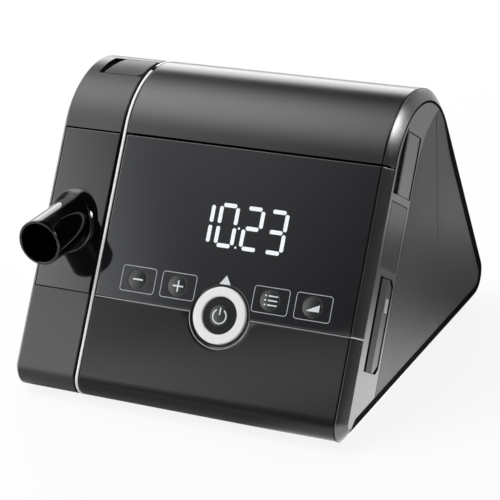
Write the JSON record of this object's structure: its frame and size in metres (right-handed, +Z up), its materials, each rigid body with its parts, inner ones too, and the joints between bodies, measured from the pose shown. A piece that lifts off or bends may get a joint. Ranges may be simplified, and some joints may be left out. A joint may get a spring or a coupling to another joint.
{
  "type": "cpap machine",
  "caption": "Bedside CPAP machine: rounded prism housing, sloping display with round keys, side section with outlet connector, port flaps, rear filter door and blower inside.",
  "frame": {"origin": "on the surface that the machine stands on, under the middle of its bounding box", "axes": "+Z up, +X towards the side with the port flaps, +Y towards the rear with the filter door"},
  "size_m": [0.17, 0.1799, 0.135],
  "materials": {
    "satin_grey": "satin moulded plastic, dark grey",
    "gloss_grey": "polished plastic, dark grey",
    "dark_window": "tinted gloss, opaque when unlit",
    "gloss_black": "polished black plastic",
    "white_trim": "white moulded trim",
    "silver_trim": "thin bright trim",
    "inner_plastic": "unpainted structural plastic",
    "circuit": "circuit board laminate",
    "silicone": "soft moulded silicone",
    "foam": "open-cell filter foam",
    "steel": "turned steel",
    "windings": "laminated stator with copper windings"
  },
  "bodies": {
    "housing": {"lower_front_cover": "satin_grey", "top_cover": "satin_grey", "rear_housing": "satin_grey", "right_frame": "satin_grey", "right_frame_insert": "satin_grey", "right_side_panel": "satin_grey", "port_strip": "satin_grey", "blank_plate": "satin_grey", "display_window": "dark_window", "power_inlet": "gloss_black", "digit_module": "gloss_black", "white_trim_strip": "white_trim", "power_ring": "white_trim", "seam_trim": "silver_trim", "base_plate": "inner_plastic", "left_bulkhead": "inner_plastic", "display_carrier": "inner_plastic", "air_duct": "inner_plastic", "blower_base": "inner_plastic", "blower_cover": "inner_plastic", "filter_frame": "inner_plastic", "display_board": "circuit", "main_board": "circuit", "port_board": "circuit", "foot_1": "silicone", "foot_2": "silicone", "foot_3": "silicone", "foot_4": "silicone", "keypad_mat": "silicone", "port_seal": "silicone", "blower_bush_1": "silicone", "blower_bush_2": "silicone", "blower_bush_3": "silicone", "coarse_filter": "foam", "pollen_filter": "foam", "inlet_muffler": "foam", "base_screw_1": "steel", "base_screw_2": "steel", "base_screw_3": "steel", "base_screw_4": "steel", "lower_bearing": "steel", "upper_bearing": "steel", "card_socket": "steel", "service_socket": "steel", "motor_stator": "windings"},
    "side_section": {"side_shell": "satin_grey", "side_front_panel": "gloss_grey", "side_inner_wall": "inner_plastic", "outlet_tube": "gloss_black", "outlet_manifold": "inner_plastic"},
    "minus_key": {"minus_key": "dark_window"},
    "plus_key": {"plus_key": "dark_window"},
    "menu_key": {"menu_key": "dark_window"},
    "ramp_key": {"ramp_key": "dark_window"},
    "power_button": {"power_button": "dark_window"},
    "release_button": {"release_button": "satin_grey"},
    "sd_flap": {"sd_flap": "satin_grey"},
    "service_flap": {"service_flap": "satin_grey"},
    "filter_door": {"filter_door": "satin_grey"},
    "rotor": {"rotor": "inner_plastic"}
  },
  "joints": [
    {"name": "side_section_slide", "type": "slide", "parent": "housing", "child": "side_section", "axis": [-1, 0, 0], "range_m": [0, 0.06]},
    {"name": "minus_key_press", "type": "slide", "parent": "housing", "child": "minus_key", "axis": [0, 0.8572, -0.515], "range_m": [0, 0.0007], "stiffness_N_per_m": 1200, "springref_m": -0.0005},
    {"name": "plus_key_press", "type": "slide", "parent": "housing", "child": "plus_key", "axis": [0, 0.8572, -0.515], "range_m": [0, 0.0007], "stiffness_N_per_m": 1200, "springref_m": -0.0005},
    {"name": "menu_key_press", "type": "slide", "parent": "housing", "child": "menu_key", "axis": [0, 0.8572, -0.515], "range_m": [0, 0.0007], "stiffness_N_per_m": 1200, "springref_m": -0.0005},
    {"name": "ramp_key_press", "type": "slide", "parent": "housing", "child": "ramp_key", "axis": [0, 0.8572, -0.515], "range_m": [0, 0.0007], "stiffness_N_per_m": 1200, "springref_m": -0.0005},
    {"name": "power_button_press", "type": "slide", "parent": "housing", "child": "power_button", "axis": [0, 0.8572, -0.515], "range_m": [0, 0.0007], "stiffness_N_per_m": 1200, "springref_m": -0.0005},
    {"name": "release_button_press", "type": "slide", "parent": "side_section", "child": "release_button", "axis": [0, 0.1167, -0.9932], "range_m": [0, 0.002], "stiffness_N_per_m": 2000, "springref_m": -0.001},
    {"name": "sd_flap_hinge", "type": "hinge", "parent": "housing", "child": "sd_flap", "pos_m": [0.0835, -0.00226, 0.1014], "axis": [0, 0.515, 0.8572], "range_deg": [0, 90]},
    {"name": "service_flap_hinge", "type": "hinge", "parent": "housing", "child": "service_flap", "pos_m": [0.0835, -0.04079, 0.03941], "axis": [0, 0.515, 0.8572], "range_deg": [0, 90]},
    {"name": "filter_door_hinge", "type": "hinge", "parent": "housing", "child": "filter_door", "pos_m": [0.01625, 0.07415, 0.04783], "axis": [-1, 0, 0], "range_deg": [0, 85]},
    {"name": "rotor_spin", "type": "hinge", "parent": "housing", "child": "rotor", "pos_m": [0.01625, 0.01816, 0.03], "axis": [0, 0, 1], "continuous": true}
  ]
}
